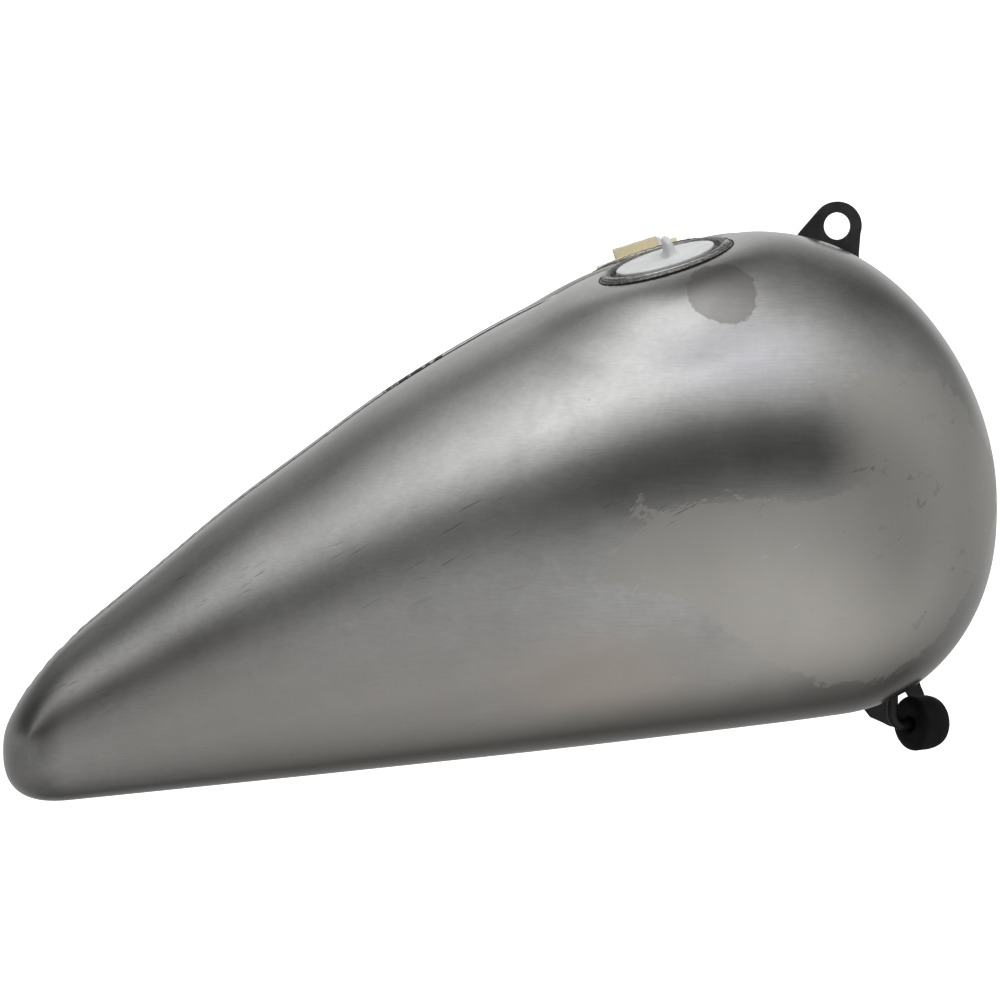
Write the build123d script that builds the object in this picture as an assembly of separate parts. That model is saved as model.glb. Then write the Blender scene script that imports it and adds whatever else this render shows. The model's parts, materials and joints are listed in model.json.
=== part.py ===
from build123d import *
import os
from math import cos, pi, radians, sin

# Twin-lobe fuel tank of a cruiser motorcycle, bare steel, as it is shipped.
# +X is the bike's front, +Y the rider's left, +Z up. Millimetres.
# The origin is the centre of the upper front ear's hole, on the centre plane.

# ---- sheet and side view -------------------------------------------------------
SHEET = 1.6
FIT = 0.2
NOSE_X = 95.0
TAIL_X = -482.0
CREST_Z = -5.4
# Top line, from the tail to the crest: (x, height below the crest).
TOP_LINE = [(-482, -270), (-446, -237.5), (-400, -199.5), (-353, -160.5), (-307, -126.5), (-261, -93),
            (-214, -64), (-168, -39.5), (-98, -9), (-52, -0.6), (-29, 0)]
CREST_X = -29.0
NOSE_DROP = 154.0
NOSE_TOP_POWER = 1.79
NOSE_BOTTOM_START = 0.0
NOSE_BOTTOM_POWER = 2.13
BOTTOM_DROP = 271.6
BOTTOM_SLOPE = 0.1226
TAIL_START = -438.0
TAIL_DROP = 297.5
TAIL_POWER = 2.6

# ---- plan view and lobe section --------------------------------------------------
HALF_GAP = 30.0
WELD_GAP = 0.05
# Half width of the tank, from the tail to the widest place: (x, half width).
WIDTH_LINE = [(-482, 72), (-446, 84), (-353, 113), (-261, 139), (-168, 160), (-80, 170), (-40, 171)]
WIDTH_NOSE_START = -40.0
WIDTH_NOSE_POWER = 2.1
CREST_SHARE = 0.06
EDGE_DIP = 1.0
WIDEST_SHARE = 0.44
UPPER_POWER = 2.3
LOWER_POWER = 2.4
FLAT_SHARE = 0.3
BREAKTHROUGH = 6.0
BAFFLE_GAP = 0.5
NOSE_TURNS = [12, 25, 38, 51, 63, 73, 80.5, 85.5, 88.0, 89.0]
TAIL_TURNS = [89.0, 87.0, 83, 76, 65, 50, 30]
MIDDLE_X = [-420, -385, -330, -275, -215, -160, -110, -70, -40]

# ---- channel between the lobes ------------------------------------------------------
CHANNEL_DEPTH = 22.0
CHANNEL_FADE_FRONT = (18.0, 74.0)
CHANNEL_FADE_REAR = (-470.0, -380.0)
BRIDGE_FRONT_TURN = 60.0
WALL_INNER = HALF_GAP - WELD_GAP - SHEET

# ---- filler necks and plugs ------------------------------------------------------------
NECK_X = -99.5
NECK_Y = 74.0
NECK_SINK = 5.8
NECK_REARWARD_DEG = 17.2
NECK_OUTWARD_DEG = 8.5
NECK_BORE_R = 27.0
NECK_TUBE_R = 29.0
NECK_DEPTH = 26.0
SKIRT_R = 36.0
SKIRT_DEPTH = 15.0
LIP_R = 39.0
PLUG_R = 28.6
PLUG_SEAT = 0.6
PLUG_THICK = 2.6
SPIGOT_R = NECK_BORE_R - 0.35
SPIGOT_WALL = 1.8
SPIGOT_DEPTH = 14.0
FIN_LENGTH = 26.0
FIN_HEIGHT = 10.5
FIN_THICK = 4.2

# ---- ears, drain nipple and cap ----------------------------------------------------------------
EAR_THICK = 5.0
UPPER_EAR_X = 7.0
UPPER_EAR_HOLE_R = 8.0
UPPER_EAR_R = 14.4
LOWER_EAR_X = 46.5
LOWER_EAR_Z = -282.7
LOWER_EAR_HOLE_R = 6.5
LOWER_EAR_R = 16.0
BRACE_X = 20.0
BRACE_THICK = 5.0
BRACE_Z = (-262.0, -236.0)
NIPPLE_R = 3.2
NIPPLE_BORE_R = 2.2
NIPPLE_START = (33.4, -62.0, -259.0)
NIPPLE_BEND_Z = -287.5
NIPPLE_BEND_R = 8.0
NIPPLE_REACH = 27.0
CAP_AXIS = Vector(0.857, 0.515, 0).normalized()
CAP_START = 12.0
CAP_LENGTH = 22.5
CAP_R = 15.9
CAP_BORE_R = NIPPLE_R + 0.3
CAP_BORE_DEPTH = 17.0

# ---- inner pieces and rear mount ---------------------------------------------------------------
BAFFLE_X = {"front": -45.0, "rear": -230.0}
BAFFLE_THICK = 1.2
BUNG_X = -262.0
BUNG_Y = 62.0
BUNG_R = 14.0
BUNG_BORE_R = 8.2
BUNG_LENGTH = 18.0
VENT_X = -24.0
VENT_Y = 62.0
BRACKET_X = -424.0
BRACKET_Z = -309.0
BRACKET_LENGTH = 56.0
BRACKET_THICK = 3.0
BRACKET_HOLE_R = 4.5
BRACKET_PITCH = 28.0
BALANCE_X = -20.0
BALANCE_Z = -262.0
BALANCE_R = 6.0
BALANCE_BORE_R = 5.0
BALANCE_STANDOUT = 5.0
DASH_FRONT_X = -150.0
DASH_REAR_X = -255.0
DASH_HEAD_DROP = 7.0


# ---- the tank's form -----------------------------------------------------------------------
def smooth(line, x):
    """Height of a smooth line through the points at x."""
    last = len(line) - 1
    span = max(i for i in range(last) if x >= line[i][0] or i == 0)

    def slope(i):
        before = line[max(i - 1, 0)]
        after = line[min(i + 1, last)]
        return (after[1] - before[1]) / (after[0] - before[0])

    x0, y0 = line[span]
    x1, y1 = line[span + 1]
    width = x1 - x0
    t = (x - x0) / width
    start = y0 * (1 + 2 * t) * (1 - t) ** 2 + slope(span) * width * t * (1 - t) ** 2
    end = y1 * t * t * (3 - 2 * t) + slope(span + 1) * width * t * t * (t - 1)
    return start + end


def closing(x, start, end, power):
    """How much of a section is left at x: all of it before start, none at end."""
    share = (x - start) / (end - start)
    if share <= 0:
        return 1.0
    return (1 - min(share, 1.0) ** power) ** (1 / power)


def section(x, inset=0.0):
    """Top, bottom and half width of one lobe at x, all moved inwards by inset."""
    nose = NOSE_X - inset
    tail = closing(x, TAIL_START, TAIL_X + inset, TAIL_POWER)
    if x > CREST_X:
        top = -inset - (NOSE_DROP - inset) * (1 - closing(x, CREST_X, nose, NOSE_TOP_POWER))
    else:
        top = smooth(TOP_LINE, x) - inset
    line = -BOTTOM_DROP + BOTTOM_SLOPE * x + inset
    round_nose = closing(x, NOSE_BOTTOM_START, nose, NOSE_BOTTOM_POWER)
    bottom = line - (NOSE_DROP + line) * (1 - round_nose)
    top = -TAIL_DROP + (top + TAIL_DROP) * tail
    bottom = -TAIL_DROP + (bottom + TAIL_DROP) * tail
    full = smooth(WIDTH_LINE, min(x, WIDTH_NOSE_START)) - HALF_GAP - inset
    width = full * tail * closing(x, WIDTH_NOSE_START, nose, WIDTH_NOSE_POWER)
    return CREST_Z + top, CREST_Z + bottom, HALF_GAP + width


def stations(inset=0.0):
    """The places along the tank where its section is drawn, from tail to nose."""
    tail_reach = TAIL_START - TAIL_X - inset
    nose_reach = NOSE_X - inset - CREST_X
    tail = [TAIL_START - tail_reach * sin(radians(turn)) for turn in TAIL_TURNS]
    nose = [CREST_X + nose_reach * sin(radians(turn)) for turn in NOSE_TURNS]
    return tail + MIDDLE_X + nose


def lobe_outline(x, inset=0.0):
    """Points round one lobe, from its top inner edge over the crest and under the bottom."""
    top, bottom, half = section(x, inset)
    inner = HALF_GAP - (BREAKTHROUGH if inset else 0.0)
    crest = inner + CREST_SHARE * (half - inner)
    flat = inner + FLAT_SHARE * (half - inner)
    dip = EDGE_DIP * min(1.0, (top - bottom) / 50)
    widest = bottom + WIDEST_SHARE * (top - bottom)
    points = [(inner, top - dip)]
    for step in range(7):
        turn = pi / 2 * (1 - step / 7)
        out = crest + (half - crest) * max(cos(turn), 0) ** (2 / UPPER_POWER)
        points.append((out, widest + (top - widest) * sin(turn) ** (2 / UPPER_POWER)))
    for step in range(7):
        turn = pi / 2 * step / 6
        out = flat + (half - flat) * max(cos(turn), 0) ** (2 / LOWER_POWER)
        points.append((out, widest - (widest - bottom) * sin(turn) ** (2 / LOWER_POWER)))
    points.append((inner, bottom))
    return points


def outline_parameters():
    """Shared spline parameters, spaced as the points of the widest section are."""
    points = lobe_outline(-60)
    steps = [((b[0] - a[0]) ** 2 + (b[1] - a[1]) ** 2) ** 0.5 for a, b in zip(points, points[1:])]
    total = sum(steps)
    return [sum(steps[:i]) / total for i in range(len(points))]


def lobe(inset=0.0):
    """One left lobe as a closed body."""
    parameters = outline_parameters()
    faces = []
    for x in stations(inset):
        points = [(x, y, z) for y, z in lobe_outline(x, inset)]
        skin = Edge.make_spline(points, parameters=parameters)
        closing_edge = Edge.make_line(points[-1], points[0])
        faces.append(Face(Wire([skin, closing_edge])))
    return Solid.make_loft([face.outer_wire() for face in faces])


def neck_plane(side):
    """The filler neck's seat on one lobe; side is 1 on the left and -1 on the right."""
    back = radians(NECK_REARWARD_DEG)
    out = radians(NECK_OUTWARD_DEG)
    top = section(NECK_X)[0]
    axis = Vector(-sin(back) * cos(out), side * sin(out), cos(back) * cos(out))
    along = Vector(cos(back), 0, sin(back))
    return Plane(origin=(NECK_X, side * NECK_Y, top - NECK_SINK), x_dir=along, z_dir=axis)


def upright(radius, x, y, low, high):
    return Pos(x, y, (low + high) / 2) * Cylinder(radius, high - low)


def mirrored(shape):
    return shape.mirror(Plane.XZ)


def ring(plane, profile):
    """A solid of revolution about a plane's normal, from (radius, height) points."""
    face = make_face(Polyline(*[(r, 0, z) for r, z in profile], close=True))
    return plane * revolve(face, Axis.Z)


# ---- sheet metal -----------------------------------------------------------------------------
def outer_skin(side):
    """Pressed shell of one lobe, open towards the centre."""
    skin = lobe() - lobe(SHEET)
    skin -= neck_plane(1) * Cylinder(SKIRT_R + FIT, 80)
    skin -= neck_plane(1) * Pos(0, 0, 20) * Cylinder(LIP_R + FIT, 40)
    if side > 0:
        for radius, x, y in ((BUNG_R, BUNG_X, BUNG_Y), (NIPPLE_R, VENT_X, VENT_Y)):
            low = section(x)[1]
            skin -= upright(radius, x, y, low - 9, low + 9)
        return skin
    x, y, _ = NIPPLE_START
    low = section(x)[1]
    return mirrored(skin - upright(NIPPLE_R, x, -y, low - 9, low + 9))


def side_face(xs, height_above, height_below):
    """A face in the side view between two lines over the same stations."""
    above = [(x, 0, height_above(x)) for x in xs]
    below = [(x, 0, height_below(x)) for x in xs]
    edges = [Spline(*above), Line(above[-1], below[-1]), Spline(*below), Line(below[0], above[0])]
    return make_face(edges)


def inner_wall(side):
    """Flat wall that closes one lobe towards the centre, a weld gap clear of the skin's rim."""
    def above(x):
        top, bottom, _ = section(x)
        return top - EDGE_DIP * min(1.0, (top - bottom) / 50)

    face = side_face(stations(), above, lambda x: section(x)[1])
    wall = extrude(face, SHEET, dir=(0, 1, 0))
    wall = Pos(0, WALL_INNER + SHEET / 2 - wall.center(CenterOf.BOUNDING_BOX).Y, 0) * wall
    wall -= Pos(BALANCE_X, HALF_GAP, BALANCE_Z) * Rot(90, 0, 0) * Cylinder(BALANCE_R, 20)
    return wall if side > 0 else mirrored(wall)


def fade(x, low, high):
    t = min(max((x - low) / (high - low), 0.0), 1.0)
    return t * t * (3 - 2 * t)


def channel_floor(x):
    """Height of the channel's floor on the centre plane."""
    top = section(x)[0]
    depth = CHANNEL_DEPTH * fade(x, *CHANNEL_FADE_REAR) * (1 - fade(x, *CHANNEL_FADE_FRONT))
    return top - EDGE_DIP - depth


def top_bridge():
    """Channel floor that joins the two lobes, from the tail over the crest to the nose."""
    reach = NOSE_X - CREST_X
    nose = [CREST_X + reach * sin(radians(turn)) for turn in NOSE_TURNS if turn < BRIDGE_FRONT_TURN]
    xs = [TAIL_X + 8, TAIL_START - 22, TAIL_START] + MIDDLE_X + nose
    upper = [Vector(x, 0, channel_floor(x)) for x in xs]
    lower = []
    for i, point in enumerate(upper):
        run = upper[min(i + 1, len(upper) - 1)] - upper[max(i - 1, 0)]
        lower.append(point + Vector(run.Z, 0, -run.X).normalized() * SHEET)
    edges = [Spline(*upper), Line(upper[-1], lower[-1]), Spline(*lower), Line(lower[0], upper[0])]
    floor = extrude(make_face(edges), WALL_INNER, dir=(0, 1, 0), both=True)
    for x in (DASH_FRONT_X, DASH_REAR_X):
        floor -= upright(4.0, x, 0, channel_floor(x) - 20, channel_floor(x) + 20)
    return floor


# ---- fillers ------------------------------------------------------------------------------------
def filler_neck(side):
    """Neck tube, skirt and raised lip round the filler."""
    profile = [
        (NECK_BORE_R, -NECK_DEPTH), (NECK_TUBE_R, -NECK_DEPTH), (NECK_TUBE_R, -SHEET),
        (SKIRT_R - SHEET, -SHEET), (SKIRT_R - SHEET, -SKIRT_DEPTH), (SKIRT_R, -SKIRT_DEPTH),
        (SKIRT_R, 0), (LIP_R, 0), (LIP_R, 1.2), (LIP_R - 1, 2.0), (SKIRT_R - 1.6, 2.0),
        (SKIRT_R - 2.2, PLUG_SEAT), (NECK_BORE_R, PLUG_SEAT),
    ]
    return ring(neck_plane(side), profile)


def filler_plug(side, fin_turn):
    """Moulded push-in plug with a hollow spigot and an upright pull fin."""
    plane = neck_plane(side)
    top = PLUG_SEAT + PLUG_THICK
    profile = [
        (0, PLUG_SEAT + 0.8), (SPIGOT_R - SPIGOT_WALL, PLUG_SEAT + 0.8),
        (SPIGOT_R - SPIGOT_WALL, -SPIGOT_DEPTH), (SPIGOT_R - 0.6, -SPIGOT_DEPTH),
        (SPIGOT_R, -SPIGOT_DEPTH + 3), (SPIGOT_R, PLUG_SEAT), (PLUG_R, PLUG_SEAT),
        (PLUG_R, top - 0.6), (PLUG_R - 0.6, top), (PLUG_R - 2.4, top), (PLUG_R - 3.2, top - 0.7),
        (0, top - 0.7),
    ]
    disc = ring(plane, profile)
    half = FIN_LENGTH / 2
    root = top - 1.0
    outline = Polyline((-half, root), (half, root), (half - 2, root + 3), (half - 7, root + FIN_HEIGHT),
                       (7 - half, root + FIN_HEIGHT), (2 - half, root + 3), close=True)
    fin = extrude(make_face(Plane.XZ * outline), FIN_THICK / 2, both=True)
    return disc + plane * Rot(0, 0, fin_turn) * fin


def masking_tape():
    """Strip of paper tape folded over the left plug's fin and stuck down behind it."""
    tape = 0.5
    clear = FIN_THICK / 2 + 0.2
    low = PLUG_SEAT + PLUG_THICK + 0.1
    high = low + FIN_HEIGHT + 0.8
    spread = 13.0
    outer = [(-spread, low), (-clear - tape, low), (-clear - tape, high + tape),
             (clear + tape, high + tape), (clear + tape, low), (spread, low)]
    inner = [(spread, low + tape), (clear + 2 * tape, low + tape), (clear + 2 * tape, high + 2 * tape),
             (-clear - 2 * tape, high + 2 * tape), (-clear - 2 * tape, low + tape), (-spread, low + tape)]
    face = make_face(Plane.YZ * Polyline(*outer, *inner, close=True))
    return neck_plane(1) * Pos(-22, 0, 0) * extrude(face, 31, dir=(1, 0, 0))


# ---- ears and rear bracket -----------------------------------------------------------------------
def ear(foot, eye_x, eye_z, eye_r, hole_r):
    """A plate on the centre plane: a foot and a round eye with its bolt hole."""
    across = Pos(eye_x, 0, eye_z) * Rot(90, 0, 0)
    corners = [(x, 0, z) for x, z in foot]
    solid = extrude(make_face(Polyline(*corners, close=True)), EAR_THICK / 2, dir=(0, 1, 0), both=True)
    return solid + across * Cylinder(eye_r, EAR_THICK) - across * Cylinder(hole_r, EAR_THICK + 2)


def upper_front_ear():
    """Upper ear: its foot follows the channel floor."""
    x = UPPER_EAR_X
    floor = [(x + shift, channel_floor(x + shift) + 0.3) for shift in (12, 6, 0, -8, -16, -23, -30)]
    foot = floor + [(x - 29, -13), (x - 21.5, -2.9), (x - 10.4, 10), (x, 4), (x + 14.2, 2.4), (x + 13, -14.8)]
    return ear(foot, x, 0, UPPER_EAR_R, UPPER_EAR_HOLE_R)


def lower_front_ear():
    """Lower ear: hangs from the front of the brace."""
    x, z = LOWER_EAR_X, LOWER_EAR_Z
    foot = [(x + 9.5, z + 42.7), (BRACE_X, z + 42.7), (BRACE_X, z + 2.7), (x - 16.8, z - 9.8),
            (x - 5, z - 15), (x, z), (x + 14, z + 7.5), (x + 12, z + 13)]
    return ear(foot, x, z, LOWER_EAR_R, LOWER_EAR_HOLE_R)


def lower_front_brace():
    """Flat bar across the tunnel that carries the lower ear."""
    low, high = BRACE_Z
    middle = Pos(BRACE_X - BRACE_THICK / 2, 0, (low + high) / 2)
    return middle * Box(BRACE_THICK, 2 * WALL_INNER, high - low)


def rear_mount_bracket():
    """Folded channel between the inner walls at the tail, with two bolt holes."""
    outer = Box(BRACKET_LENGTH, 2 * WALL_INNER, 16)
    hollow = Pos(0, 0, BRACKET_THICK) * Box(BRACKET_LENGTH + 2, 2 * (WALL_INNER - BRACKET_THICK), 16)
    bracket = Pos(BRACKET_X, 0, BRACKET_Z + 8) * (outer - hollow)
    for shift in (-BRACKET_PITCH / 2, BRACKET_PITCH / 2):
        bracket -= upright(BRACKET_HOLE_R, BRACKET_X + shift, 0, BRACKET_Z - 5, BRACKET_Z + 8)
    return bracket


def dash_stud(x):
    """Stud with a hexagon head below the channel floor, for a dash panel."""
    under = channel_floor(x) - DASH_HEAD_DROP
    shank = upright(3.9, x, 0, under - 1, under + 22)
    head = Pos(x, 0, under - 5) * extrude(RegularPolygon(6.5, 6), 5)
    return shank + head


# ---- fuel fittings ---------------------------------------------------------------------------------
def balance_tube():
    """Short tube low across the tunnel that joins the two fuel spaces."""
    reach = 2 * (HALF_GAP + BALANCE_STANDOUT)
    tube = Cylinder(BALANCE_R, reach) - Cylinder(BALANCE_BORE_R, reach + 2)
    return Pos(BALANCE_X, 0, BALANCE_Z) * Rot(90, 0, 0) * tube


def drain_nipple():
    """Bent nipple under the front of the right lobe."""
    start = Vector(*NIPPLE_START)
    corner = Vector(start.X, start.Y, NIPPLE_BEND_Z)
    end = corner + CAP_AXIS * NIPPLE_REACH
    path = FilletPolyline(start, corner, end, radius=NIPPLE_BEND_R)
    at_start = Plane(origin=start, z_dir=(0, 0, -1))
    return sweep(at_start * Circle(NIPPLE_R), path=path) - sweep(at_start * Circle(NIPPLE_BORE_R), path=path)


def drain_cap():
    """Push-on rubber cap with a domed closed end."""
    corner = Vector(NIPPLE_START[0], NIPPLE_START[1], NIPPLE_BEND_Z)
    plane = Plane(origin=corner + CAP_AXIS * CAP_START, x_dir=(0, 0, 1), z_dir=CAP_AXIS)
    profile = [
        (CAP_BORE_R, 0), (CAP_R - 3, 0), (CAP_R - 0.8, 0.8), (CAP_R, 3), (CAP_R, CAP_LENGTH - 5),
        (CAP_R - 1.4, CAP_LENGTH - 2), (CAP_R - 4.5, CAP_LENGTH), (0, CAP_LENGTH + 0.8),
        (0, CAP_BORE_DEPTH), (CAP_BORE_R, CAP_BORE_DEPTH),
    ]
    return ring(plane, profile)


def petcock_bung():
    """Weld-in bung for the fuel tap, with its bore open downwards."""
    low = section(BUNG_X)[1] - 6
    body = upright(BUNG_R, BUNG_X, BUNG_Y, low, low + BUNG_LENGTH)
    return body - upright(BUNG_BORE_R, BUNG_X, BUNG_Y, low - 1, low + BUNG_LENGTH + 1)


def vent_tube():
    """Standpipe from under the left lobe to the air space beside the filler."""
    bottom = section(VENT_X)[1] - 14
    top = section(VENT_X)[0] - 26
    tube = upright(NIPPLE_R, VENT_X, VENT_Y, bottom, top)
    return tube - upright(NIPPLE_BORE_R, VENT_X, VENT_Y, bottom - 1, top + 1)


# ---- inner pieces -----------------------------------------------------------------------------------
def baffle(side, x, space):
    """Cross plate in one lobe, with flow holes and open bottom corners."""
    top, bottom, half = section(x)
    slab = Pos(x, HALF_GAP + 0.5 + half / 2, (top + bottom) / 2) * Box(BAFFLE_THICK, half, 400)
    sheet = slab & space
    middle = (HALF_GAP + half) / 2
    height = top - bottom
    for share in (0.3, 0.52, 0.74):
        z = bottom + share * height
        sheet -= Pos(x, middle, z) * Rot(0, 90, 0) * Cylinder(18, 10)
    sheet -= Pos(x, HALF_GAP, bottom) * Box(10, 40, 36)
    return sheet if side > 0 else mirrored(sheet)


def build_parts():
    sides = {"left": 1, "right": -1}
    space = lobe(SHEET + BAFFLE_GAP)
    shapes = {"top_bridge": top_bridge(), "masking_tape": masking_tape(), "petcock_bung": petcock_bung(),
              "vent_tube": vent_tube(), "rear_mount_bracket": rear_mount_bracket(),
              "upper_front_ear": upper_front_ear(), "lower_front_ear": lower_front_ear(),
              "lower_front_brace": lower_front_brace(), "balance_tube": balance_tube(),
              "drain_nipple": drain_nipple(), "drain_cap": drain_cap(),
              "dash_front_stud": dash_stud(DASH_FRONT_X), "dash_rear_stud": dash_stud(DASH_REAR_X)}
    for name, side in sides.items():
        shapes[f"{name}_outer_skin"] = outer_skin(side)
        shapes[f"{name}_inner_wall"] = inner_wall(side)
        shapes[f"{name}_filler_neck"] = filler_neck(side)
        shapes[f"{name}_filler_plug"] = filler_plug(side, 0 if side > 0 else 90)
        for place, x in BAFFLE_X.items():
            shapes[f"{name}_{place}_baffle"] = baffle(side, x, space)
    return shapes


os.makedirs("parts", exist_ok=True)
for node, shape in build_parts().items():
    export_step(Pos(-UPPER_EAR_X, 0, 0) * shape, f"parts/{node}.step")
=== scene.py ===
import json
from math import cos, pi, radians, sin, sqrt

import bpy
from mathutils import Matrix, Vector, noise

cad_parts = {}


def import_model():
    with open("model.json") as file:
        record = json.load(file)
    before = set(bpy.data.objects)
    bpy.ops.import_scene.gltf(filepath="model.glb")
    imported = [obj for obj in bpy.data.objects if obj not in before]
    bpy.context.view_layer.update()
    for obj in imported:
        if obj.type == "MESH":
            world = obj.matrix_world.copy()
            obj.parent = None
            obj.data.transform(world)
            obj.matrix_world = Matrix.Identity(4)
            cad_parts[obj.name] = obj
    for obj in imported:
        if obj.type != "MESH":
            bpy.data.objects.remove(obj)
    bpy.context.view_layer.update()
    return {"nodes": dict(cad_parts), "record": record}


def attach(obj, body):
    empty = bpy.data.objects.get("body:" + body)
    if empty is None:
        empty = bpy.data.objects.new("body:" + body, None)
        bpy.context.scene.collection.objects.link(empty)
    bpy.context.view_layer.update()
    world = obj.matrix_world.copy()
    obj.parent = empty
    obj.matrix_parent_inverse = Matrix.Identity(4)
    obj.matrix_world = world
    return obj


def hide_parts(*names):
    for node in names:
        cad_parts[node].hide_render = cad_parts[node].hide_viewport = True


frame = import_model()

MM = 0.001
SIDES = {"left": 1, "right": -1}

# ---- the tank's form, in millimetres, as the CAD model draws it ---------------------
SHEET = 1.6
NOSE_X, TAIL_X, CREST_X, CREST_Z = 95.0, -482.0, -29.0, -5.4
TOP_LINE = [(-482, -270), (-446, -237.5), (-400, -199.5), (-353, -160.5), (-307, -126.5), (-261, -93),
            (-214, -64), (-168, -39.5), (-98, -9), (-52, -0.6), (-29, 0)]
WIDTH_LINE = [(-482, 72), (-446, 84), (-353, 113), (-261, 139), (-168, 160), (-80, 170), (-40, 171)]
NOSE_DROP, NOSE_TOP_POWER = 154.0, 1.79
NOSE_BOTTOM_START, NOSE_BOTTOM_POWER = 0.0, 2.13
BOTTOM_DROP, BOTTOM_SLOPE = 271.6, 0.1226
TAIL_START, TAIL_DROP, TAIL_POWER = -438.0, 297.5, 2.6
HALF_GAP, EDGE_DIP = 30.0, 1.0
WIDTH_NOSE_START, WIDTH_NOSE_POWER = -40.0, 2.1
CREST_SHARE, FLAT_SHARE, WIDEST_SHARE = 0.06, 0.3, 0.44
UPPER_POWER, LOWER_POWER = 2.3, 2.4
NECK_X, NECK_Y, NECK_SINK = -99.5, 74.0, 5.8
NECK_REARWARD, NECK_OUTWARD = radians(17.2), radians(8.5)
CHANNEL_DEPTH = 22.0
CHANNEL_FADE_FRONT, CHANNEL_FADE_REAR = (18.0, 74.0), (-470.0, -380.0)
EAR_X = 7.0
BUNG, BUNG_WELD_R = (-262.0, 62.0), 14.2
BUNG_HOLE_R, NECK_HOLE_R = 9.4, 31.0
CAP_CORNER, CAP_START = Vector((33.4, -62.0, -287.5)), 12.0
CAP_AXIS = Vector((0.857, 0.515, 0)).normalized()


def smooth(line, x):
    """Height of a smooth line through the points at x."""
    last = len(line) - 1
    span = max(i for i in range(last) if x >= line[i][0] or i == 0)

    def slope(i):
        before = line[max(i - 1, 0)]
        after = line[min(i + 1, last)]
        return (after[1] - before[1]) / (after[0] - before[0])

    x0, y0 = line[span]
    x1, y1 = line[span + 1]
    width = x1 - x0
    t = (x - x0) / width
    start = y0 * (1 + 2 * t) * (1 - t) ** 2 + slope(span) * width * t * (1 - t) ** 2
    end = y1 * t * t * (3 - 2 * t) + slope(span + 1) * width * t * t * (t - 1)
    return start + end


def closing(x, start, end, power):
    share = (x - start) / (end - start)
    if share <= 0:
        return 1.0
    return (1 - min(share, 1.0) ** power) ** (1 / power)


def section(x):
    """Top, bottom and half width of one lobe at x."""
    tail = closing(x, TAIL_START, TAIL_X, TAIL_POWER)
    if x > CREST_X:
        top = -NOSE_DROP * (1 - closing(x, CREST_X, NOSE_X, NOSE_TOP_POWER))
    else:
        top = smooth(TOP_LINE, x)
    line = -BOTTOM_DROP + BOTTOM_SLOPE * x
    bottom = line - (NOSE_DROP + line) * (1 - closing(x, NOSE_BOTTOM_START, NOSE_X, NOSE_BOTTOM_POWER))
    top = -TAIL_DROP + (top + TAIL_DROP) * tail
    bottom = -TAIL_DROP + (bottom + TAIL_DROP) * tail
    full = smooth(WIDTH_LINE, min(x, WIDTH_NOSE_START)) - HALF_GAP
    width = full * tail * closing(x, WIDTH_NOSE_START, NOSE_X, WIDTH_NOSE_POWER)
    return CREST_Z + top, CREST_Z + bottom, HALF_GAP + width


def ramp(x, low, high):
    t = min(max((x - low) / (high - low), 0.0), 1.0)
    return t * t * (3 - 2 * t)


def channel_floor(x):
    depth = CHANNEL_DEPTH * ramp(x, *CHANNEL_FADE_REAR) * (1 - ramp(x, *CHANNEL_FADE_FRONT))
    return section(x)[0] - EDGE_DIP - depth


def world(p, side=1):
    """A point of the drawing, in millimetres, as a place in the scene."""
    return Vector((p[0] - EAR_X, side * p[1], p[2])) * MM


# ---- mesh helpers ----------------------------------------------------------------------
def mesh_object(name, verts, faces, smooth_shaded=True):
    mesh = bpy.data.meshes.new(name)
    mesh.from_pydata([tuple(v) for v in verts], [], faces)
    mesh.validate()
    mesh.update()
    if smooth_shaded:
        mesh.shade_smooth()
    obj = bpy.data.objects.new(name, mesh)
    bpy.context.scene.collection.objects.link(obj)
    return obj


def finish_piece(obj, slot, body, node=None):
    """Material, body and CAD node of a made piece."""
    dress(obj, slot)
    if node:
        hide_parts(node)
    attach(obj, body)


def rounded(points, radius, steps=4, closed=True):
    """The same outline with its corners rounded."""
    points = [Vector(p) for p in points]
    count = len(points)
    result = []
    for i, p in enumerate(points):
        if not closed and i in (0, count - 1):
            result.append(p)
            continue
        before, after = points[i - 1] - p, points[(i + 1) % count] - p
        reach = min(radius, before.length * 0.45, after.length * 0.45)
        a, b = p + before.normalized() * reach, p + after.normalized() * reach
        for k in range(steps + 1):
            t = k / steps
            result.append(a * (1 - t) ** 2 + p * 2 * t * (1 - t) + b * t * t)
    return result


def wobble(p, scale, seed=0.0):
    """Repeatable lumps: a smooth random height at a point."""
    return noise.noise(Vector((p[0] * scale + seed, p[1] * scale - seed, p[2] * scale + 2 * seed)))


def lathe(turn, profile, segments=128, lump=None):
    """Vertices and faces of a closed profile turned about a frame's Z axis."""
    verts, faces = [], []
    count = len(profile)
    for k in range(segments):
        angle = 2 * pi * k / segments
        for r, z in profile:
            p = Vector((r * cos(angle), r * sin(angle), z))
            if lump:
                p = lump(p, r, z)
            verts.append(world(turn @ p))
    for k in range(segments):
        for i in range(count):
            a, b = k * count + i, k * count + (i + 1) % count
            c, d = (k + 1) % segments * count + (i + 1) % count, (k + 1) % segments * count + i
            faces.append((d, c, b, a))
    return verts, faces


def loops(turn, rings):
    """Vertices and faces of a stack of rings, closed at both ends."""
    count = len(rings[0])
    verts = [world(turn @ Vector(p)) for row in rings for p in row]
    faces = [(i * count + k, i * count + (k + 1) % count, (i + 1) * count + (k + 1) % count,
              (i + 1) * count + k) for i in range(len(rings) - 1) for k in range(count)]
    faces.append(tuple(reversed(range(count))))
    faces.append(tuple(range(len(verts) - count, len(verts))))
    return verts, faces


def joined(name, *pieces):
    verts, faces = [], []
    for more_verts, more_faces in pieces:
        start = len(verts)
        verts += more_verts
        faces += [tuple(i + start for i in face) for face in more_faces]
    return mesh_object(name, verts, faces)


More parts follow.
